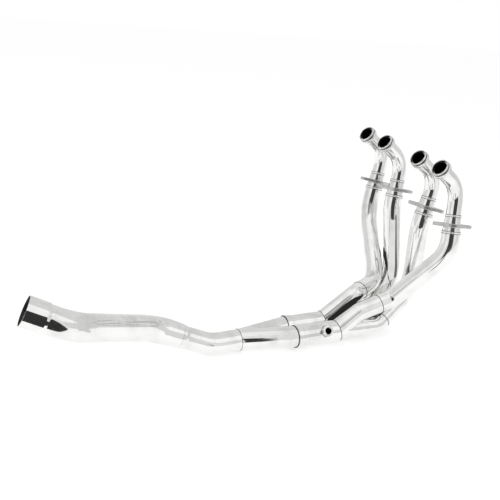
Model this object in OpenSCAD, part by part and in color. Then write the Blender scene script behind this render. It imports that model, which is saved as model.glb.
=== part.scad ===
// Four-into-two-into-one exhaust header of an inline four-cylinder motorcycle.
// Millimetres. +X points to the front wheel, +Y to the left of the machine and +Z up.
// The origin is the middle of the port row, in the plane where the collars seal.

/* [Ports] */
// Distance between the two ports of an outer pair
port_pitch = 80; // [76:1:100]
// Distance between the two inner ports
middle_pitch = 137; // [120:1:170]
// How far the port axes point down from level, in degrees
port_angle = 37.5; // [30:0.5:45]
// Port axis, from the sealing plane to the corner of the first bend
neck_length = 84; // [78:1:110]
// Bore of the port collar
collar_bore = 37; // [35:0.5:38]
// Outer diameter of the seal lip at the mouth of the collar
seal_lip_od = 42; // [41:0.5:43]
// Outer diameter of the shoulder that the flange presses on
shoulder_od = 45; // [44:0.5:47]
// Diameter of the groove between the two lips
groove_od = 39.5; // [39:0.5:40]
// Length of the seal lip
seal_lip_length = 4.5; // [3:0.5:6]
// Length of the groove
groove_length = 3; // [2:0.5:5]
// Length of the shoulder
shoulder_length = 7; // [5:0.5:9]

/* [Tubes] */
// Outer diameter of the upper pipes
upper_od = 35.5; // [33:0.5:36]
// Outer diameter of the lower pipes
lower_od = 44.5; // [42:0.5:46]
// Outer diameter of the two secondary pipes
secondary_od = 49.5; // [48:0.5:51]
// Outer diameter of the link pipe
link_od = 50.8; // [49:0.2:52]
// Wall of every tube
tube_wall = 1.5; // [1:0.1:2]
// Bend radius of the first bend under the ports
first_bend_r = 60; // [50:1:66]
// Bend radius half way down
middle_bend_r = 120; // [90:5:130]
// Bend radius at the bottom
bottom_bend_r = 75; // [60:5:80]
// Bend radius of the wide sweep of pipe 4
sweep_bend_r = 85; // [70:5:90]

/* [Expanders] */
// Distance from the first corner to the expander of each pipe
expander_starts = [55, 49, 50, 63]; // [45:1:66]
// Length of the cone
expander_length = 44; // [36:1:45]
// Width of a weld bead
bead_width = 5; // [3:0.5:6]
// Height of a weld bead above the tube
bead_height = 0.8; // [0.5:0.1:1.2]

/* [Port flanges] */
// Distance between the two stud holes
stud_pitch = 68; // [64:1:72]
// Stud hole diameter
stud_hole_d = 9; // [8.5:0.1:10]
// Flange thickness
flange_thickness = 8; // [6:0.5:10]
// Outer radius round each stud hole
flange_end_r = 11; // [9.5:0.5:12]
// Outer radius of the middle of the flange
flange_middle_r = 30; // [28:0.5:33]
// Hole for the pipe, which neither the shoulder of the collar nor the wide end of the expander can pass
flange_bore = 41.5; // [40:0.5:43]
// Depth of the counterbore that takes the shoulder
flange_recess = 3; // [2:0.5:4]
// Chamfer round the flange
flange_edge = 1; // [0.5:0.1:1.5]
// Play between a loose flange and the cone that it hangs on, over the diameter
flange_play = 0.2; // [0.1:0.05:0.5]
// Play between the counterbore and the shoulder, over the diameter
recess_play = 1; // [0.5:0.1:2]
// How far each loose flange is turned about its pipe, from forwards to the right, in degrees
flange_turns = [8, 57, 55, 31]; // [0:1:90]

/* [Collectors] */
// Length of the sleeves that take the secondary pipes
sleeve_length = 12; // [8:1:16]
// How far a sleeve reaches over the final collector
sleeve_grip = 3; // [2:0.5:5]
// Wall of the sleeves
sleeve_wall = 1.5; // [1:0.1:2]
// Distance from each lower pipe's end to the corner of its branch in the pair collector
branch_reach = [26, 24, 24, 55]; // [20:1:60]
// Bend radius of the branches
branch_bend_r = 40; // [30:5:45]
// Bend radius at the end of pipe 4
end_bend_r = 35; // [25:5:40]
// Tilt of the weld between a pair collector and its secondary pipe, in degrees
mitre_angle = 15; // [5:1:20]

/* [Sensor bung] */
// Distance from the near collector's weld to the bung
bung_offset = 42; // [36:1:60]
// Outer diameter of the bung
bung_od = 26; // [23:1:28]
// Thread's core diameter, M18 by 1.5
bung_bore = 16.5; // [16:0.1:17]
// Height of the bung above the tube
bung_height = 9; // [7:0.5:12]
// How far the bung is turned from straight up, in degrees
bung_turn = 56; // [40:1:90]

/* [Outlet] */
// Outer diameter of the outlet pipe
outlet_od = 59.5; // [57:0.5:61]
// Outer diameter of the link's spigot, inside the slip joint
spigot_od = 53; // [52.5:0.1:53.5]
// Play between the spigot and its sleeve, over the diameter
slip_play = 0.3; // [0.1:0.05:0.6]
// How deep the spigot goes into the sleeve
slip_depth = 26; // [20:1:28]
// Length of the outlet's flare behind its front edge
flare_length = 30; // [24:1:32]
// Outer diameter of the swaged mouth
mouth_od = 62.5; // [61.5:0.5:64]
// Length of the swaged mouth
mouth_length = 40; // [34:1:42]
// Bend radius of the link pipe and of the bend behind the slip joint
link_bend_r = 95; // [80:5:110]
// Bend radius of the last bend
kick_bend_r = 110; // [90:5:120]
// Length over which a tube's end is swaged to its new diameter
swage_length = 6; // [3:0.5:8]
// Stretch of the spigot that shows in front of the slip joint
spigot_lead = 8; // [4:1:14]
// Distance from the link's corner to the front edge of the slip joint
slip_start = 78; // [74:1:82]

/* [Spring hooks] */
// Wire of a spring hook
hook_wire = 4; // [3:0.5:5]
// Inner radius of a spring hook
hook_r = 3; // [2:0.5:3.5]

/* [Hidden] */
$fn = 72;

UP = [0, 0, 1];
// How far a straight reaches into a bend, and how much thicker the bend is
bend_grip = 0.5;
bend_lip = 0.1;
// How far a cut runs past the face that it opens
past = 1;
// How far the shells run on past the planes and sleeves that trim them
weld_overrun = 20;
pipe_overrun = 15;
inlet_overrun = 8;
// How far a spring hook's ends sink in before the sleeve trims them
hook_sink = 0.5;
port_dir = [cos(port_angle), 0, -sin(port_angle)];
collar_length = seal_lip_length + groove_length + shoulder_length;
row = [middle_pitch / 2 + port_pitch, middle_pitch / 2, -middle_pitch / 2, -middle_pitch / 2 - port_pitch];

// Corner points of the four head pipes below their first corner, down to their joints with the collectors
low_corners = [
    [[30, 123, -209], [-18, -24, -337], [-87, -57, -344]],
    [[48, 48, -166], [46, -8, -343], [-55, -58, -400]],
    [[36, -83, -180], [50, -82, -338], [-50, -116, -397]],
    [[48, -187, -200], [-37, -123, -340], [-71, -121, -351]]
];
low_bends = [
    [middle_bend_r, bottom_bend_r],
    [middle_bend_r, bottom_bend_r],
    [middle_bend_r, bottom_bend_r],
    [sweep_bend_r, end_bend_r]
];
weld_left = [-191, -68, -410];
weld_right = [-181, -120, -409];
inlet_left = [-293, -68, -412];
inlet_right = [-293, -120, -411];
tail_start = [-429, -94, -416];
link_corner = [-495, -96, -417.5];
slip_corner = [-626, -73, -371];
kick_corner = [-830, -188, -282];
mouth = [-913, -168, -247];

mitre_dir = [-cos(mitre_angle), 0, -sin(mitre_angle)];

function unit(v) = v / norm(v);
function first_corner(i) = [0, row[i], 0] + neck_length * port_dir;
function leg_dir(i) = unit(low_corners[i][0] - first_corner(i));
function on_leg(i, s) = first_corner(i) + (expander_starts[i] + s) * leg_dir(i);
function inner(od) = od - 2 * tube_wall;
function turn(p, i) = acos(unit(p[i] - p[i - 1]) * unit(p[i + 1] - p[i]));
function setback(p, r, i) = i == 0 || i == len(p) - 1 ? 0 : r[i - 1] * tan(turn(p, i) / 2);
function side(d) = unit(cross(abs(d.z) < 0.9 ? UP : [0, 1, 0], d));

// Puts what is drawn round the origin at a point, with its X and Y axes along two directions
module frame(p, x, y) {
    z = cross(x, y);
    multmatrix([[x.x, y.x, z.x, p.x], [x.y, y.y, z.y, p.y], [x.z, y.z, z.z, p.z], [0, 0, 0, 1]]) children();
}

// Puts what is drawn along +Z at a point, along a direction
module along(p, d) {
    a = side(d);
    frame(p, a, cross(d, a)) children();
}

module ring(od, id) {
    difference() {
        circle(d = od);
        circle(d = id);
    }
}

// A rod, or a tube where it has a bore, that follows corner points with round bends.
// Each straight reaches a little into its bends, which are a hair thicker, so that they are one solid.
// A turned end can take the place of the first or the last straight.
module run(p, r, od, id = 0, first = true, final = true) {
    last = len(p) - 1;
    for (i = [(first ? 0 : 1) : (final ? last : last - 1) - 1]) {
        d = unit(p[i + 1] - p[i]);
        from = i == 0 ? 0 : setback(p, r, i) - bend_grip;
        to = norm(p[i + 1] - p[i]) - (i == last - 1 ? 0 : setback(p, r, i + 1) - bend_grip);
        along(p[i] + from * d, d) linear_extrude(to - from) section(od, id);
    }
    if (last > 1) for (i = [1 : last - 1]) {
        u = unit(p[i] - p[i - 1]);
        n = unit(cross(u, unit(p[i + 1] - p[i])));
        out = cross(u, n);
        centre = p[i] - setback(p, r, i) * u - r[i - 1] * out;
        frame(centre, out, u) rotate_extrude(angle = turn(p, i)) translate([r[i - 1], 0])
            section(od + 2 * bend_lip, id - 2 * bend_lip);
    }
}

module section(od, id) {
    if (id > 0) ring(od, id);
    else circle(d = od);
}

// A straight tube whose outer diameter changes, given as [distance, diameter] stations
module turned_tube(p, d, stations) {
    back = [for (i = [len(stations) - 1 : -1 : 0]) stations[i]];
    along(p, d) rotate_extrude() polygon(concat(
        [for (k = stations) [k[1] / 2, k[0]]],
        [for (k = back) [inner(k[1]) / 2, k[0]]]
    ));
}

// A straight solid cone between two points
module cone(p, q, od_1, od_2) {
    along(p, unit(q - p)) cylinder(norm(q - p), od_1 / 2, od_2 / 2);
}

// Outline of a rounded weld bead, seen from its side, on a tube of the given diameter
module bead_profile(od) {
    round_r = (bead_height ^ 2 + bead_width ^ 2 / 4) / (2 * bead_height);
    intersection() {
        translate([od / 2 + bead_height - round_r, 0]) circle(round_r);
        translate([od / 2 - tube_wall / 2, -bead_width / 2]) square([tube_wall + bead_height, bead_width]);
    }
}

// Everything behind a plane through a point, as seen along a direction
module behind(p, d) {
    reach = 400;
    along(p, d) translate([-reach / 2, -reach / 2, 0]) cube(reach);
}

module port_collar(i) {
    color("silver") along([0, row[i], 0], port_dir) difference() {
        union() {
            cylinder(seal_lip_length, d = seal_lip_od);
            cylinder(collar_length, d = groove_od);
            translate([0, 0, seal_lip_length + groove_length]) cylinder(shoulder_length, d = shoulder_od);
        }
        translate([0, 0, -past]) cylinder(seal_lip_length + past, d = collar_bore);
        translate([0, 0, -past]) cylinder(collar_length + 2 * past, d = upper_od);
    }
}

module upper_pipe(i) {
    start = [0, row[i], 0] + seal_lip_length * port_dir;
    color("gainsboro")
        run([start, first_corner(i), on_leg(i, 0)], [first_bend_r], upper_od, inner(upper_od));
}

// Cone from the upper to the lower pipe, with the beads of its two welds
module expander(i) {
    slope = (lower_od - upper_od) / expander_length;
    color("gainsboro") along(on_leg(i, 0), leg_dir(i)) rotate_extrude() {
        polygon([
            [inner(upper_od) / 2, 0], [upper_od / 2, 0],
            [lower_od / 2, expander_length], [inner(lower_od) / 2, expander_length]
        ]);
        translate([0, bead_width / 2]) bead_profile(upper_od + bead_width * slope / 2);
        translate([0, expander_length - bead_width / 2]) bead_profile(lower_od - bead_width * slope / 2);
    }
}

module lower_pipe(i) {
    color("gainsboro") run(concat([on_leg(i, expander_length)], low_corners[i]), low_bends[i],
        lower_od, inner(lower_od));
}

module flange_outline(grow) {
    for (s = [-1, 1]) hull() {
        circle(flange_middle_r + grow, $fn = 48);
        translate([s * stud_pitch / 2, 0]) circle(flange_end_r + grow, $fn = 32);
    }
}

// Loose two-stud flange, slid down its pipe until it hangs on the cone
module port_flange(i) {
    cone_slope = (lower_od - upper_od) / expander_length;
    rest = (flange_bore - flange_play - upper_od) / cone_slope;
    d = leg_dir(i);
    forward = [cos(flange_turns[i]), -sin(flange_turns[i]), 0];
    x = unit(forward - (forward * d) * d);
    color("darkgray") frame(on_leg(i, rest - flange_thickness), x, cross(d, x)) difference() {
        hull() {
            translate([0, 0, flange_edge])
                linear_extrude(flange_thickness - 2 * flange_edge) flange_outline(0);
            linear_extrude(flange_thickness) flange_outline(-flange_edge);
        }
        translate([0, 0, -past]) cylinder(flange_thickness + 2 * past, d = flange_bore);
        translate([0, 0, -past]) cylinder(flange_recess + past, d = shoulder_od + recess_play);
        for (s = [-1, 1]) translate([s * stud_pitch / 2, 0, -past])
            cylinder(flange_thickness + 2 * past, d = stud_hole_d);
    }
}

// One branch of a pair collector, from a lower pipe's end round its corner to the weld and beyond.
// Shell is what its diameters lose where the passage inside is cut out.
module branch(i, weld, shell) {
    ends = low_corners[i];
    p = ends[len(ends) - 1];
    q = p + branch_reach[i] * unit(p - ends[len(ends) - 2]);
    d = unit(weld - q);
    corners = [p, q, weld];
    back = setback(corners, [branch_bend_r], 1);
    run(corners, [branch_bend_r], lower_od - shell, final = false);
    cone(q + (back - bend_grip) * d, weld + weld_overrun * d, lower_od - shell, secondary_od - shell);
}

module pair_collector(upper, lower, weld) {
    color("silver") difference() {
        union() {
            branch(upper, weld, 0);
            branch(lower, weld, 0);
        }
        branch(upper, weld, 2 * tube_wall);
        branch(lower, weld, 2 * tube_wall);
        behind(weld, mitre_dir);
    }
}

module secondary(weld, inlet) {
    d = unit(inlet - weld);
    difference() {
        intersection() {
            along(weld - pipe_overrun * d, d) linear_extrude(norm(inlet - weld) + pipe_overrun)
                ring(secondary_od, inner(secondary_od));
            behind(weld, mitre_dir);
        }
        children();
    }
}

left_run = unit(inlet_left - weld_left);
right_run = unit(inlet_right - weld_right);
bung_at = weld_right + bung_offset * right_run;
bung_lean = [0, -sin(bung_turn), cos(bung_turn)];
bung_dir = unit(bung_lean - (bung_lean * right_run) * right_run);

module secondary_pipe_left() {
    color("silver") secondary(weld_left, inlet_left);
}

module secondary_pipe_right() {
    color("silver") secondary(weld_right, inlet_right)
        along(bung_at, bung_dir) cylinder(secondary_od, d = bung_bore);
}

module sensor_bung() {
    color("silver") difference() {
        along(bung_at, bung_dir) cylinder(secondary_od / 2 + bung_height, d = bung_od);
        along(bung_at, bung_dir) cylinder(secondary_od, d = bung_bore);
        along(bung_at - secondary_od * right_run, right_run) cylinder(2 * secondary_od, d = secondary_od);
    }
}

tail_dir = unit(link_corner - tail_start);
inlet_sleeve_od = secondary_od + 2 * sleeve_wall;

// A branch is as wide as its secondary pipe at the inlet and as the link pipe at the tail
module final_branch(inlet, shell) {
    d = unit(tail_start - inlet);
    cone(inlet - inlet_overrun * d, tail_start + pipe_overrun * d, secondary_od - shell, link_od - shell);
}

// Slips over the end of a secondary pipe, which stops against the collector
module inlet_sleeve(inlet, d) {
    along(inlet, d) difference() {
        translate([0, 0, -sleeve_length]) cylinder(sleeve_length + sleeve_grip, d = inlet_sleeve_od);
        cylinder(sleeve_grip + past, d = inner(secondary_od));
    }
}

module final_collector() {
    color("silver") difference() {
        union() {
            final_branch(inlet_left, 0);
            final_branch(inlet_right, 0);
            inlet_sleeve(inlet_left, left_run);
            inlet_sleeve(inlet_right, right_run);
        }
        final_branch(inlet_left, 2 * tube_wall);
        final_branch(inlet_right, 2 * tube_wall);
        behind(tail_start, tail_dir);
        along(inlet_left, -left_run) cylinder(2 * sleeve_length, d = secondary_od);
        along(inlet_right, -right_run) cylinder(2 * sleeve_length, d = secondary_od);
    }
}

// Half ring of wire under the middle of the right sleeve
module spring_hook() {
    middle = inlet_right - (sleeve_length - sleeve_grip) / 2 * right_run;
    down = cross(side(right_run), right_run);
    color("silver") difference() {
        frame(middle + (inlet_sleeve_od / 2 - hook_sink) * down, right_run, down) rotate_extrude(angle = 180)
            translate([hook_r + hook_wire / 2, 0]) circle(d = hook_wire);
        along(middle - sleeve_length * right_run, right_run)
            cylinder(2 * sleeve_length, d = inlet_sleeve_od);
    }
}

slip_dir = unit(slip_corner - link_corner);
slip_edge = link_corner + slip_start * slip_dir;
sleeve_od = spigot_od + slip_play + 2 * tube_wall;

module link_pipe() {
    corners = [tail_start, link_corner, slip_corner];
    bend_end = setback(corners, [link_bend_r], 1) - bend_grip;
    wide = slip_start - spigot_lead - bend_end;
    color("silver") {
        run(corners, [link_bend_r], link_od, inner(link_od), final = false);
        turned_tube(link_corner + bend_end * slip_dir, slip_dir, [
            [0, link_od], [wide - swage_length, link_od], [wide, spigot_od],
            [wide + spigot_lead + slip_depth, spigot_od]
        ]);
    }
}

module outlet_pipe() {
    corners = [slip_edge, slip_corner, kick_corner, mouth];
    bends = [link_bend_r, kick_bend_r];
    kick_dir = unit(mouth - kick_corner);
    front = norm(slip_corner - slip_edge) - setback(corners, bends, 1) + bend_grip;
    bend_end = setback(corners, bends, 2) - bend_grip;
    rear = norm(mouth - kick_corner) - bend_end;
    color("silver") {
        turned_tube(slip_edge, slip_dir, [[0, sleeve_od], [flare_length, outlet_od], [front, outlet_od]]);
        run(corners, bends, outlet_od, inner(outlet_od), first = false, final = false);
        turned_tube(kick_corner + bend_end * kick_dir, kick_dir, [
            [0, outlet_od], [rear - mouth_length - swage_length, outlet_od],
            [rear - mouth_length, mouth_od], [rear, mouth_od]
        ]);
    }
}

for (i = [1 : 4]) {
    port_collar(i - 1);
    upper_pipe(i - 1);
    expander(i - 1);
    lower_pipe(i - 1);
    port_flange(i - 1);
}
pair_collector(0, 1, weld_left);  // pair_collector_left
pair_collector(3, 2, weld_right);  // pair_collector_right
secondary_pipe_left();
secondary_pipe_right();
sensor_bung();
final_collector();
link_pipe();
outlet_pipe();
spring_hook();
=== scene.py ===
import math

import bpy
from mathutils import Matrix, Vector


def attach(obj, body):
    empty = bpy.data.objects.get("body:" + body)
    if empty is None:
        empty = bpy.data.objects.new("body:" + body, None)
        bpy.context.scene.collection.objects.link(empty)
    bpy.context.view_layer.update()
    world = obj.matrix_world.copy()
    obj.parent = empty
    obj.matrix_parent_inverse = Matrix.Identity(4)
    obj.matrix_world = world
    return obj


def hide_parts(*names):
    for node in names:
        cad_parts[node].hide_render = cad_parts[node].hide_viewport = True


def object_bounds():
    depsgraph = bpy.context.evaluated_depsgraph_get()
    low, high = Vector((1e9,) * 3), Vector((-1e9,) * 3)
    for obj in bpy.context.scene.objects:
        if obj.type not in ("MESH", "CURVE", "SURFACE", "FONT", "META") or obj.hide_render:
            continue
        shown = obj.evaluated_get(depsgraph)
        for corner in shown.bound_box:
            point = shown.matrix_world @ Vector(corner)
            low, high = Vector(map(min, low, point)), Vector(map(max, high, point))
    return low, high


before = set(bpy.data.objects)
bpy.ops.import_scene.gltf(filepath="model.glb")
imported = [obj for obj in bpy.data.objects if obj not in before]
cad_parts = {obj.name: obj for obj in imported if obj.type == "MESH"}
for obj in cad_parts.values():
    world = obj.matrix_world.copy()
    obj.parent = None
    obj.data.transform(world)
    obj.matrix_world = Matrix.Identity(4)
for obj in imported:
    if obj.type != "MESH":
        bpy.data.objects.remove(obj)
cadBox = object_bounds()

body = "root"  # nothing on the header moves
mm = 0.001
white = (1, 1, 1, 1)


# A screen colour in hex, turned by the sRGB curve into the linear one that Blender mixes
def linearColour(hexText):
    parts = [int(hexText[i:i + 2], 16) / 255 for i in (0, 2, 4)]
    return [part / 12.92 if part <= 0.04045 else ((part + 0.055) / 1.055) ** 2.4 for part in parts] + [1.0]


def addNode(tree, kind, settings=None, inputs=None):
    node = tree.nodes.new(kind)
    for key, value in (settings or {}).items():
        setattr(node, key, value)
    for key, value in (inputs or {}).items():
        if isinstance(value, bpy.types.NodeSocket):
            tree.links.new(value, node.inputs[key])
        else:
            node.inputs[key].default_value = value
    return node


def newMaterial(name):
    material = bpy.data.materials.new(name)
    material.use_nodes = True
    material.node_tree.nodes.clear()
    return material, material.node_tree


def newObject(name, data):
    obj = bpy.data.objects.new(name, data)
    bpy.context.scene.collection.objects.link(obj)
    return obj


# The header was photographed from the rear right and a little above, with the camera rolled a few degrees
camera = {
    "spot": (-1.125, -1.4015, 0.4076),
    "look": (0.437, 0.817, -0.376),
    "rollDegrees": 7.0,
    "lens": 53.3,
    "sensor": 36,
}


def placeCamera(settings):
    look = Vector(settings["look"]).normalized()
    level = look.cross(Vector((0, 0, 1))).normalized()
    upright = level.cross(look)
    roll = math.radians(settings["rollDegrees"])
    right = level * math.cos(roll) + upright * math.sin(roll)
    up = right.cross(look)
    data = bpy.data.cameras.new("camera")
    data.lens = settings["lens"]
    data.sensor_width = settings["sensor"]
    eye = newObject("camera", data)
    turn = Matrix((right, up, -look)).transposed()
    eye.matrix_world = Matrix.Translation(settings["spot"]) @ turn.to_4x4()
    bpy.context.scene.camera = eye


placeCamera(camera)
print("camera placed")

studio = {
    "floorGap": 0.001,
    "floorReach": 6.0,
    "floorColour": "f4f4f4",
    "floorGlow": 0.425,
    "roomLight": 0.62,
    "lampAim": (-0.3, 0, -0.25),
    "lamps": {
        "keyLamp": {"spot": (-1.5, -0.6, 1.7), "size": 1.4, "watts": 6},
        "fillLamp": {"spot": (0.9, -1.7, 1.3), "size": 1.2, "watts": 3.5},
        "backLamp": {"spot": (0.3, 1.6, 1.5), "size": 1.6, "watts": 4},
    },
    # What the polish mirrors of the room: grey walls that grow paler downwards, between two sines of height
    "walls": 0.75,
    "lowWalls": 0.94,
    "skirting": (-0.26, -0.02),
    # Sheets before the walls and gaps between them: two bearings, two heights in degrees, then brightness.
    # Bearings turn from the header's front towards its left side.
    "sheets": {
        "ceilingRearRight": (-183, -60, 57, 90, 1.04),
        "ceilingFront": (-60, 100, 71, 90, 1.0),
        "ceilingRearLeft": (100, 183, 48, 90, 0.96),
        "sheetAtRear": (-183, -148, -35, 44, 0.96),
        "sheetAtRight": (-92, -64, -32, 62, 0.86),
        "sheetFrontRight": (-62, -28, 28, 62, 1.05),
        "sheetFrontLeft": (2, 62, -24, 10, 0.84),
        "gapAboveCamera": (-150, -120, 26, 56, 0.30),
        "gapBesideCamera": (-122, -91, 26, 44, 0.48),
        "darkBehindCamera": (-146, -93, -7, 28, 0.055),
    },
    # How softly a sheet ends: above and below as a sine, and at its sides in radians
    "sheetEdge": 0.045,
    "sheetSideEdge": 0.0675,
}


def makeWorld():
    world = bpy.data.worlds.new("whiteStudio")
    world.use_nodes = True
    tree = world.node_tree
    tree.nodes.clear()

    def ramp(value, start, end):
        return addNode(tree, "ShaderNodeMapRange", {"interpolation_type": "SMOOTHSTEP"}, {
            "Value": value, "From Min": start, "From Max": end}).outputs[0]

    def times(first, second):
        return addNode(tree, "ShaderNodeMath", {"operation": "MULTIPLY"}, {0: first, 1: second}).outputs[0]

    def between(value, low, high, edge):
        return times(ramp(value, low - edge, low + edge), ramp(value, high + edge, high - edge))

    def blend(share, first, second):
        return addNode(tree, "ShaderNodeMix", inputs={0: share, 2: first, 3: second}).outputs[0]

    rays = addNode(tree, "ShaderNodeLightPath")
    where = addNode(tree, "ShaderNodeTexCoord")
    parts = addNode(tree, "ShaderNodeSeparateXYZ", inputs={"Vector": where.outputs["Generated"]})
    bearing = addNode(tree, "ShaderNodeMath", {"operation": "ARCTAN2"}, {
        0: parts.outputs["Y"], 1: parts.outputs["X"]}).outputs[0]
    height = parts.outputs["Z"]
    mirrored = blend(ramp(height, *studio["skirting"]), studio["lowWalls"], studio["walls"])
    edge = studio["sheetEdge"]
    pastZenith = 1 + 2 * edge  # a ceiling ends past the zenith, so that no edge of it shows there
    for left, right, low, high, brightness in studio["sheets"].values():
        across = between(bearing, math.radians(left), math.radians(right), studio["sheetSideEdge"])
        top = math.sin(math.radians(high)) if high < 90 else pastZenith
        upward = between(height, math.sin(math.radians(low)), top, edge)
        mirrored = blend(times(across, upward), mirrored, brightness)
    seen = addNode(tree, "ShaderNodeMath", {"operation": "MAXIMUM"}, {
        0: rays.outputs["Is Camera Ray"], 1: rays.outputs["Is Transmission Ray"]}).outputs[0]
    strength = blend(seen, blend(rays.outputs["Is Glossy Ray"], studio["roomLight"], mirrored), 1.0)
    light = addNode(tree, "ShaderNodeBackground", inputs={"Color": white, "Strength": strength})
    addNode(tree, "ShaderNodeOutputWorld", inputs={"Surface": light.outputs[0]})
    bpy.context.scene.world = world


def makeFloor():
    low = cadBox[0][2] - studio["floorGap"]
    far = studio["floorReach"]
    mesh = bpy.data.meshes.new("floor")
    corners = [(-far, -far, low), (far, -far, low), (far, far, low), (-far, far, low)]
    mesh.from_pydata(corners, [], [(0, 1, 2, 3)])
    floor = newObject("floor", mesh)
    material, tree = newMaterial("whitePaperSweep")  # matt paper: keeps a soft shadow
    paper = addNode(tree, "ShaderNodeBsdfDiffuse", inputs={"Color": linearColour(studio["floorColour"])})
    glow = addNode(tree, "ShaderNodeEmission", inputs={"Color": white, "Strength": studio["floorGlow"]})
    both = addNode(tree, "ShaderNodeAddShader", inputs={0: paper.outputs[0], 1: glow.outputs[0]})
    addNode(tree, "ShaderNodeOutputMaterial", inputs={"Surface": both.outputs[0]})
    mesh.materials.append(material)


# The corners of an upright card that faces the header's side
def standing(across, *outline):
    return [(x, across, z) for x, z in outline]


footing = -0.445  # just under the floor
# Glowing cards near the header that only its polish shows, as painted reflections: dark and pale streaks,
# and dark shade between the legs and between the collectors. Each has a shade, and corners in metres
cards = {
    "darkReflectionByOutlet": {"shade": "343434", "corners": standing(
        -0.40, (-1.10, footing), (-0.875, footing), (-0.775, -0.31), (-0.80, -0.20), (-0.83, -0.13),
        (-1.10, -0.07))},
    "darkReflectionByCollector": {"shade": "343434", "corners": standing(
        -0.70, (-0.385, footing), (-0.312, footing), (-0.286, -0.34), (-0.312, -0.02), (-0.385, 0.12))},
    "paleReflectionByLink": {"shade": "e0e0e0", "corners": standing(
        -0.42, (-0.66, -0.335), (-0.56, -0.37), (-0.51, footing), (-0.402, footing), (-0.402, -0.10),
        (-0.66, -0.10))},
    "whiteReflectionByOutlet": {"shade": "ffffff", "corners": standing(
        -0.40, (-1.15, -0.065), (-0.83, -0.125), (-0.76, -0.10), (-0.70, 0.05), (-0.75, 0.42),
        (-1.15, 0.42))},
    "paleStripByLegs": {"shade": "eeeeee", "corners": standing(
        -0.04, (-0.10, -0.33), (0.042, -0.33), (0.052, -0.178), (-0.10, -0.178))},
    "greyStripByLegs": {"shade": "6a6a6a", "corners": standing(
        -0.04, (0.042, -0.33), (0.064, -0.33), (0.074, -0.165), (0.052, -0.165))},
    # The next two paint the shade that falls between the legs and between the collectors, as dark
    # reflections
    "shadeBetweenLegs": {"shade": "303030", "corners": [
        (0.021, -0.045, -0.350), (0.008, 0.008, -0.350), (0.041, 0.048, -0.275), (0.011, 0.018, -0.275)]},
    "shadeBetweenCollectors": {"shade": "2c2c2c", "corners": standing(
        -0.0945, (-0.190, -0.420), (-0.150, -0.402), (-0.060, -0.380), (-0.060, -0.341),
        (-0.117, -0.342), (-0.134, -0.350), (-0.150, -0.360), (-0.190, -0.392))},
}


def makeCards():
    for name, card in cards.items():
        # Each card glows with its shade and shows only in reflections: a painted reflection
        material, tree = newMaterial(name + "Cloth")
        paintedReflection = addNode(tree, "ShaderNodeEmission", inputs={
            "Color": linearColour(card["shade"]), "Strength": 1.0})
        addNode(tree, "ShaderNodeOutputMaterial", inputs={"Surface": paintedReflection.outputs[0]})
        mesh = bpy.data.meshes.new(name)
        mesh.from_pydata(card["corners"], [], [range(len(card["corners"]))])
        mesh.materials.append(material)
        obj = newObject(name, mesh)
        obj.visible_camera = obj.visible_diffuse = obj.visible_shadow = obj.visible_transmission = False


def makeLamps():
    for name, lamp in studio["lamps"].items():
        data = bpy.data.lights.new(name, "AREA")
        data.energy = lamp["watts"]
        data.size = lamp["size"]
        light = newObject(name, data)
        light.location = lamp["spot"]
        aim = Vector(studio["lampAim"]) - Vector(lamp["spot"])
        light.rotation_euler = aim.to_track_quat("-Z", "Y").to_euler()
        light.visible_glossy = False


makeWorld()
makeFloor()
makeCards()
makeLamps()
bpy.context.scene.view_settings.view_transform = "Standard"
print("studio lit")

# Stainless tube, polished on a wheel: near-mirror, with cloudy smears and the ripple of hand polishing
polishedTube = {
    "colour": "f1f1f0", "smear": "dededc", "smearSize": 42,
    "rough": 0.06, "roughSmear": 0.15, "ripple": 0.00022, "rippleSize": 38,
}
# Turned collar and bung: the same steel, a little duller from the tool
turnedSteel = {
    "colour": "e6e6e4", "smear": "c2c2c0", "smearSize": 14,
    "rough": 0.10, "roughSmear": 0.22, "ripple": 0.00003, "rippleSize": 4,
}
# Stamped flange plate: bead-blasted, so a broad grey sheen
blastedPlate = {
    "colour": "cccccb", "smear": "b2b2b0", "smearSize": 7,
    "rough": 0.30, "roughSmear": 0.42, "ripple": 0.00004, "rippleSize": 1.2,
}
# Weld bead, brushed clean: duller than the tube. Its dark grey is also painted shade, along the fine lines
# in the creases at beads, edges and grooves
weldMetalAndCreaseShade = {
    "colour": "5a5a58", "smear": "363634", "smearSize": 5,
    "rough": 0.30, "roughSmear": 0.48, "ripple": 0.00004, "rippleSize": 1.5,
}
# The outlet's inside is left as drawn and dulled by the heat, and its dark grey is also painted shade
# inside the pipe
dulledAndShadedInside = {
    "colour": "6e6e6c", "smear": "545452", "smearSize": 16,
    "rough": 0.35, "roughSmear": 0.55, "ripple": 0.00003, "rippleSize": 4,
}
# The ports' insides are near-black: painted shade deep inside the bores
tubeInside = {
    "colour": "1e1e1e", "smear": "101010", "smearSize": 16,
    "rough": 0.35, "roughSmear": 0.6, "ripple": 0.00003, "rippleSize": 4,
}
# What every metal shares: the detail of its smears and ripple, and where the smears' noise starts and ends
metalGrain = {
    "smearDetail": 5.0, "smearRoughness": 0.6, "smearFrom": 0.44, "smearTo": 0.70,
    "rippleDetail": 1.0,
}


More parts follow.
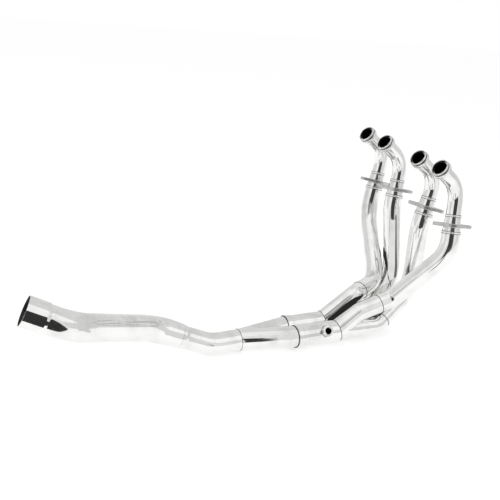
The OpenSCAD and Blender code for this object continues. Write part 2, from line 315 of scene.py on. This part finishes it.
# Smears and ripples are sized in millimetres, and a noise's scale says how many fit in a metre
def makeMetal(name, look):
    material, tree = newMaterial(name)
    where = addNode(tree, "ShaderNodeTexCoord").outputs["Object"]
    cloud = addNode(tree, "ShaderNodeTexNoise", inputs={
        "Vector": where, "Scale": 1 / (look["smearSize"] * mm),
        "Detail": metalGrain["smearDetail"], "Roughness": metalGrain["smearRoughness"]})
    patch = addNode(tree, "ShaderNodeMapRange", inputs={
        "Value": cloud.outputs["Fac"], "From Min": metalGrain["smearFrom"],
        "From Max": metalGrain["smearTo"]}).outputs[0]
    tint = addNode(tree, "ShaderNodeMix", {"data_type": "RGBA"}, {
        0: patch, 6: linearColour(look["colour"]), 7: linearColour(look["smear"])})
    rough = addNode(tree, "ShaderNodeMapRange", inputs={
        "Value": patch, "To Min": look["rough"], "To Max": look["roughSmear"]})
    wave = addNode(tree, "ShaderNodeTexNoise", inputs={
        "Vector": where, "Scale": 1 / (look["rippleSize"] * mm), "Detail": metalGrain["rippleDetail"]})
    bump = addNode(tree, "ShaderNodeBump", inputs={
        "Height": wave.outputs["Fac"], "Distance": look["ripple"], "Strength": 1.0})
    metal = addNode(tree, "ShaderNodeBsdfPrincipled", inputs={
        "Base Color": tint.outputs[2], "Roughness": rough.outputs[0],
        "Normal": bump.outputs[0], "Metallic": 1.0})
    addNode(tree, "ShaderNodeOutputMaterial", inputs={"Surface": metal.outputs[0]})
    return material


polished = makeMetal("polishedStainlessTube", polishedTube)
turned = makeMetal("turnedStainless", turnedSteel)
blasted = makeMetal("blastedFlangePlate", blastedPlate)
weldAndCreaseShade = makeMetal("weldBeadAndPaintedCreaseShade", weldMetalAndCreaseShade)
shadedInside = makeMetal("paintedShadeTubeInside", tubeInside)
dulledAndShaded = makeMetal("dulledAndShadedTubeInside", dulledAndShadedInside)
print("metals mixed")

# The header's sizes and the corner points of its routes, as in the part's source, in millimetres.
# What comes in fours runs from the machine's left to its right.
ports = {"across": (148.5, 68.5, -68.5, -148.5), "degrees": 37.5, "neck": 84.0, "bend": 60.0}
collar = {
    "bore": 18.5, "lip": 21.0, "groove": 19.75, "shoulder": 22.5,
    "lipEnd": 4.5, "grooveEnd": 7.5, "end": 14.5, "chamfer": 0.6, "rounding": 0.18,
}
legs = {
    "corners": ((30, 123, -209), (48, 48, -166), (36, -83, -180), (48, -187, -200)),
    "expanderStarts": (55, 49, 50, 63), "expander": 44.0, "beadWidth": 5.0,
    "upperRadius": 17.75, "lowerRadius": 22.25,
    # Each lower pipe's last corner and its end
    "ends": (
        ((-18, -24, -337), (-87, -57, -344)), ((46, -8, -343), (-55, -58, -400)),
        ((50, -82, -338), (-50, -116, -397)), ((-37, -123, -340), (-71, -121, -351)),
    ),
}
# A secondary pipe runs from its weld to the final collector's inlet, whose sleeve reaches back over it
secondaries = {
    "left": ((-191, -68, -410), (-293, -68, -412)), "right": ((-181, -120, -409), (-293, -120, -411)),
    "mitreDegrees": 15.0, "radius": 24.75, "sleeveLength": 12.0, "inletDepth": 3.0,
}
link = {"start": (-429, -94, -416), "corner": (-495, -96, -417.5), "radius": 25.4, "slipStart": 78.0}
outlet = {
    "corners": ((-626, -73, -371), (-830, -188, -282), (-913, -168, -247)), "bends": (95.0, 110.0),
    "edgeRadius": 28.15, "radius": 29.75, "mouthRadius": 31.25,
    "flare": 30.0, "mouthLength": 40.0, "swage": 6.0,
}
bung = {"offset": 42.0, "turnDegrees": 56.0, "radius": 13.0}
tubeWall = 1.5
portTurn = math.radians(ports["degrees"])
portLine = Vector((math.cos(portTurn), 0, -math.sin(portTurn)))

# A pipe or a weld bead is a path swept by a circle, whose radius along the way is the path's reach. Marks
# along a route that are nearer than "closest" count as one, and "slack" takes up rounding at a bend's end.
sweepLook = {
    "sides": 96, "beadSides": 12, "collarSides": 128, "bendStep": 2.5, "straightStep": 12.0,
    "softCorner": 0.5, "closest": 0.2, "slack": 0.000001, "sharpDegrees": 50, "steep": 0.9,
}


# Two directions that are square to this one and to each other
def sideways(direction):
    helper = Vector((0, 0, 1)) if abs(direction.z) < sweepLook["steep"] else Vector((0, 1, 0))
    first = helper.cross(direction).normalized()
    return first, direction.cross(first)


def makeSweepTree():
    tree = bpy.data.node_groups.new("sweptTube", "GeometryNodeTree")
    for name, kind in (("Path", "Geometry"), ("Sides", "Int"), ("Metal", "Material")):
        tree.interface.new_socket(name, in_out="INPUT", socket_type="NodeSocket" + kind)
    tree.interface.new_socket("Tube", in_out="OUTPUT", socket_type="NodeSocketGeometry")
    given = addNode(tree, "NodeGroupInput")
    curve = addNode(tree, "GeometryNodeMeshToCurve", inputs={"Mesh": given.outputs["Path"]})
    ring = addNode(tree, "GeometryNodeCurvePrimitiveCircle", inputs={
        "Resolution": given.outputs["Sides"], "Radius": 1.0})
    reach = addNode(tree, "GeometryNodeInputNamedAttribute", {"data_type": "FLOAT"}, {"Name": "reach"})
    sweep = addNode(tree, "GeometryNodeCurveToMesh", inputs={
        "Curve": curve.outputs[0], "Profile Curve": ring.outputs[0], "Scale": reach.outputs[0]})
    smooth = addNode(tree, "GeometryNodeSetShadeSmooth", inputs={"Geometry": sweep.outputs[0]})
    real = addNode(tree, "GeometryNodeRealizeInstances", inputs={"Geometry": smooth.outputs[0]})
    metal = addNode(tree, "GeometryNodeSetMaterial", inputs={
        "Geometry": real.outputs[0], "Material": given.outputs["Metal"]})
    addNode(tree, "NodeGroupOutput", inputs={"Tube": metal.outputs[0]})
    return tree


sweepTree = makeSweepTree()
sweepInputs = {
    item.name: item.identifier for item in sweepTree.interface.items_tree if item.in_out == "INPUT"}


# One object of all the paths. A path lists its points, each with its reach, in millimetres.
def sweepPaths(name, paths, metal, sides, closed=False, wall=0.0):
    points, edges, reach = [], [], []
    for path in paths:
        first, count = len(points), len(path)
        points += [Vector(point) * mm for point, radius in path]
        reach += [radius * mm for point, radius in path]
        edges += [(first + i, first + (i + 1) % count) for i in range(count if closed else count - 1)]
    mesh = bpy.data.meshes.new(name + "Path")
    mesh.from_pydata(points, edges, [])
    mesh.attributes.new("reach", "FLOAT", "POINT").data.foreach_set("value", reach)
    obj = newObject(name, mesh)
    sweep = obj.modifiers.new("sweep", "NODES")
    sweep.node_group = sweepTree
    sweep[sweepInputs["Sides"]] = sides
    sweep[sweepInputs["Metal"]] = metal
    if wall:
        shell = obj.modifiers.new("wall", "SOLIDIFY")
        shell.thickness = wall * mm
        shell.offset = -1  # the wall lies inside the swept surface
    graph = bpy.context.evaluated_depsgraph_get()
    made = bpy.data.meshes.new_from_object(obj.evaluated_get(graph), depsgraph=graph)
    obj.modifiers.clear()
    obj.data = made
    bpy.data.meshes.remove(mesh)
    return obj


# A route's straight runs and bends in turn: start, direction, arc (centre, axis and radius) and length
def routePieces(corners, bends):
    corners = [Vector(corner) for corner in corners]
    pieces, start = [], corners[0]
    for before, corner, after, bend in zip(corners, corners[1:], corners[2:], bends):
        way, onward = (corner - before).normalized(), (after - corner).normalized()
        angle = way.angle(onward)
        setback = bend * math.tan(angle / 2)
        end = corner - way * setback
        pieces.append((start, way, None, (end - start).length))
        axis = way.cross(onward).normalized()
        pieces.append((end, way, (end + axis.cross(way) * bend, axis, bend), bend * angle))
        start = corner + onward * setback
    pieces.append((start, (corners[-1] - start).normalized(), None, (corners[-1] - start).length))
    return pieces


def routeLength(pieces):
    return sum(length for start, way, arc, length in pieces)


# Distances along a route at which its tube gets a ring: dense in the bends and on both sides of a station
def routeMarks(pieces, stations):
    soft, total = sweepLook["softCorner"], routeLength(pieces)
    marks, travelled = {0.0, total}, 0.0
    for station in stations:
        marks |= {mark for mark in (station - soft, station, station + soft) if 0 < mark < total}
    for start, way, arc, length in pieces:
        count = max(1, round(length / sweepLook["bendStep" if arc else "straightStep"]))
        marks |= {travelled + length * k / count for k in range(count + 1)}
        travelled += length
    kept = []
    for mark in sorted(marks):
        if not kept or mark - kept[-1] >= sweepLook["closest"]:
            kept.append(mark)
    return kept


# The point that lies this far along a route
def pointOnRoute(pieces, distance):
    for start, way, arc, length in pieces:
        if distance <= length + sweepLook["slack"]:
            break
        distance -= length
    if not arc:
        return start + way * distance
    centre, axis, bend = arc
    return centre + Matrix.Rotation(distance / bend, 3, axis) @ (start - centre)


# A hollow pipe in the place of a CAD node, with another metal inside, darker as painted shade within the
# pipe
def pipe(name, node, pieces, radiusAt, stations=(), lining=shadedInside):
    path = [(pointOnRoute(pieces, mark), radiusAt(mark)) for mark in routeMarks(pieces, stations)]
    obj = sweepPaths(name, [path], polished, sweepLook["sides"], wall=tubeWall)
    obj.data.materials.append(lining)
    outside = (len(path) - 1) * sweepLook["sides"]  # the wall's inner faces follow the outer ones
    for face in list(obj.data.polygons)[outside:2 * outside]:
        face.material_index = 1
    obj.data.set_sharp_from_angle(angle=math.radians(sweepLook["sharpDegrees"]))
    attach(obj, body)
    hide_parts(node)


portSpots = [Vector((0, y, 0)) for y in ports["across"]]
firstCorners = [spot + portLine * ports["neck"] for spot in portSpots]
legLines = [(Vector(corner) - first).normalized() for corner, first in zip(legs["corners"], firstCorners)]
expanderSpots = [
    first + line * start for first, line, start in zip(firstCorners, legLines, legs["expanderStarts"])]
for i in range(4):
    corners = (portSpots[i] + portLine * collar["lipEnd"], firstCorners[i], expanderSpots[i])
    pipe(
        f"upperPipe{i + 1}", f"upper_pipe_{i + 1}", routePieces(corners, (ports["bend"],)),
        lambda distance: legs["upperRadius"])

# The outlet's front edge slips over the link, and its mouth is swaged a little wider
slipLine = (Vector(outlet["corners"][0]) - Vector(link["corner"])).normalized()
slipEdge = Vector(link["corner"]) + slipLine * link["slipStart"]
outletPieces = routePieces((slipEdge,) + outlet["corners"], outlet["bends"])
mouthStart = routeLength(outletPieces) - outlet["mouthLength"]


def outletRadius(distance):
    if distance < outlet["flare"]:
        return outlet["edgeRadius"] + (outlet["radius"] - outlet["edgeRadius"]) * distance / outlet["flare"]
    share = min(1.0, max(0.0, (distance - mouthStart + outlet["swage"]) / outlet["swage"]))
    return outlet["radius"] + (outlet["mouthRadius"] - outlet["radius"]) * share


pipe(
    "outletPipe", "outlet_pipe", outletPieces, outletRadius,
    (outlet["flare"], mouthStart - outlet["swage"], mouthStart), dulledAndShaded)
print("pipes swept")


# The collar's section, as distances along it and radii. It starts with its inside: the seat of the pipe and
# the bore, whose edges are painted near-black, as shade inside the bore. Then come the lip, the groove and
# the shoulder.
def collarSection():
    size, cut = collar, collar["chamfer"]
    inside = [
        (size["end"], legs["upperRadius"]), (size["lipEnd"], legs["upperRadius"]),
        (size["lipEnd"], size["bore"]), (cut, size["bore"]),
    ]
    outside = [
        (0, size["bore"] + cut), (0, size["lip"] - cut),
        (size["rounding"], size["lip"] - size["rounding"]), (cut, size["lip"]),
        (size["lipEnd"] - cut, size["lip"]), (size["lipEnd"], size["lip"] - cut),
        (size["lipEnd"], size["groove"]), (size["grooveEnd"], size["groove"]),
        (size["grooveEnd"], size["shoulder"] - cut), (size["grooveEnd"] + cut, size["shoulder"]),
        (size["end"] - cut, size["shoulder"]), (size["end"], size["shoulder"] - cut),
    ]
    return inside + outside, len(inside) - 1


# The section turned round the collar's axis
def turnCollar(name, origin, axis):
    section, darkEdges = collarSection()
    first, second = sideways(axis)
    sides, count = sweepLook["collarSides"], len(section)
    points, faces, dark = [], [], []
    for k in range(sides):
        turn = 2 * math.pi * k / sides
        arm = first * math.cos(turn) + second * math.sin(turn)
        points += [(origin + axis * distance + arm * radius) * mm for distance, radius in section]
        here, there = k * count, (k + 1) % sides * count
        for j in range(count):
            onward = (j + 1) % count
            faces.append((here + j, here + onward, there + onward, there + j))
            dark.append(int(j < darkEdges))
    mesh = bpy.data.meshes.new(name)
    mesh.from_pydata(points, [], faces)
    mesh.materials.append(turned)
    # The bore's faces get the near-black painted shade
    mesh.materials.append(shadedInside)
    mesh.polygons.foreach_set("material_index", dark)
    mesh.shade_smooth()
    mesh.set_sharp_from_angle(angle=math.radians(sweepLook["sharpDegrees"]))
    obj = newObject(name, mesh)
    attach(obj, body)
    return obj


for i in range(4):
    made = turnCollar(f"portCollar{i + 1}", portSpots[i], portLine)
    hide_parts(f"port_collar_{i + 1}")
print("collars turned")

# Seams are weld beads, which rise and fall with their drops. Shade lines are fine dark rings at a bead, an
# edge or a groove: painted shade in the crease there.
# Each has its line's radius here, and a lift is how far a shade line lies outside its pipe or edge.
beadLook = {
    "points": 192, "dropLength": 1.6, "dropDepth": 0.18,
    "seam": 0.9, "bungSeam": 0.6, "linkSeam": 0.7,
    "creaseShade": 0.65, "grooveShade": 0.9, "inletShade": 1.5, "sleeveShade": 0.9, "slipShade": 0.8,
    "inletLift": 0.3, "sleeveLift": 0.2, "slipLift": -1.0,
}
seams, shadeLines = [], []


# A closed path round a tube, square to it, or in the slanted plane that cuts it
def ringPath(centre, direction, radius, reach, dropDepth=0.0, planeNormal=None):
    centre, direction = Vector(centre), Vector(direction).normalized()
    first, second = sideways(direction)
    waves = round(2 * math.pi * radius / beadLook["dropLength"])
    path = []
    for k in range(beadLook["points"]):
        turn = 2 * math.pi * k / beadLook["points"]
        arm = (first * math.cos(turn) + second * math.sin(turn)) * radius
        shift = 0.0 if planeNormal is None else -arm.dot(planeNormal) / direction.dot(planeNormal)
        ripple = 1 - dropDepth * (0.5 + 0.5 * math.sin(turn * waves))
        path.append((centre + arm + direction * shift, reach * ripple))
    return path


def addSeam(centre, direction, radius, kind="seam", planeNormal=None):
    seams.append(ringPath(centre, direction, radius, beadLook[kind], beadLook["dropDepth"], planeNormal))


# A fine dark ring of painted shade where a bead, an edge or a groove makes a crease
def addShadeLine(centre, direction, radius, kind="creaseShade"):
    shadeLines.append(ringPath(centre, direction, radius, beadLook[kind]))


# The bung's bead lies where its cylinder meets the pipe's
def bungSeam():
    spot, inlet = (Vector(end) for end in secondaries["right"])
    run = (inlet - spot).normalized()
    lean = math.radians(bung["turnDegrees"])
    line = Vector((0, -math.sin(lean), math.cos(lean)))
    line = (line - run * line.dot(run)).normalized()
    across = run.cross(line)
    path = []
    for k in range(beadLook["points"]):
        turn = 2 * math.pi * k / beadLook["points"]
        sag = math.sqrt(secondaries["radius"] ** 2 - (bung["radius"] * math.sin(turn)) ** 2)
        arm = (run * math.cos(turn) + across * math.sin(turn)) * bung["radius"]
        path.append((spot + run * bung["offset"] + arm + line * sag, beadLook["bungSeam"]))
    return path


slope = (legs["lowerRadius"] - legs["upperRadius"]) / legs["expander"]
grooveMiddle = (collar["lipEnd"] + collar["grooveEnd"]) / 2
for i in range(4):
    for along in (0.0, legs["beadWidth"], legs["expander"] - legs["beadWidth"], legs["expander"]):
        addShadeLine(expanderSpots[i] + legLines[i] * along, legLines[i], legs["upperRadius"] + slope * along)
    addSeam(portSpots[i] + portLine * collar["end"], portLine, legs["upperRadius"])
    addShadeLine(portSpots[i] + portLine * grooveMiddle, portLine, collar["groove"], "grooveShade")
    lastCorner, end = (Vector(point) for point in legs["ends"][i])
    addSeam(end, end - lastCorner, legs["lowerRadius"])

mitreLean = math.radians(secondaries["mitreDegrees"])
mitre = Vector((-math.cos(mitreLean), 0, -math.sin(mitreLean)))
for side in ("left", "right"):
    spot, inlet = (Vector(end) for end in secondaries[side])
    run, radius = (inlet - spot).normalized(), secondaries["radius"]
    addSeam(spot, run, radius, planeNormal=mitre)
    addShadeLine(inlet + run * secondaries["inletDepth"], run, radius + beadLook["inletLift"], "inletShade")
    addShadeLine(inlet - run * secondaries["sleeveLength"], run, radius + beadLook["sleeveLift"], "sleeveShade")
seams.append(bungSeam())
addSeam(link["start"], Vector(link["corner"]) - Vector(link["start"]), link["radius"], "linkSeam")
addShadeLine(slipEdge, slipLine, outlet["edgeRadius"] + beadLook["slipLift"], "slipShade")

# The weld beads, and the painted shade lines in the creases, both in the weld's dark grey
for name, paths in (("weldSeams", seams), ("paintedShadeLines", shadeLines)):
    made = sweepPaths(name, paths, weldAndCreaseShade, sweepLook["beadSides"], closed=True)
    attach(made, body)
print("welds laid")

for name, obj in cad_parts.items():
    obj.data.materials.clear()
    if name.startswith("port_flange"):
        obj.data.materials.append(blasted)
    elif name.startswith("port_collar") or name in ("sensor_bung", "spring_hook"):
        obj.data.materials.append(turned)
    else:
        obj.data.materials.append(polished)
print("finishes on")
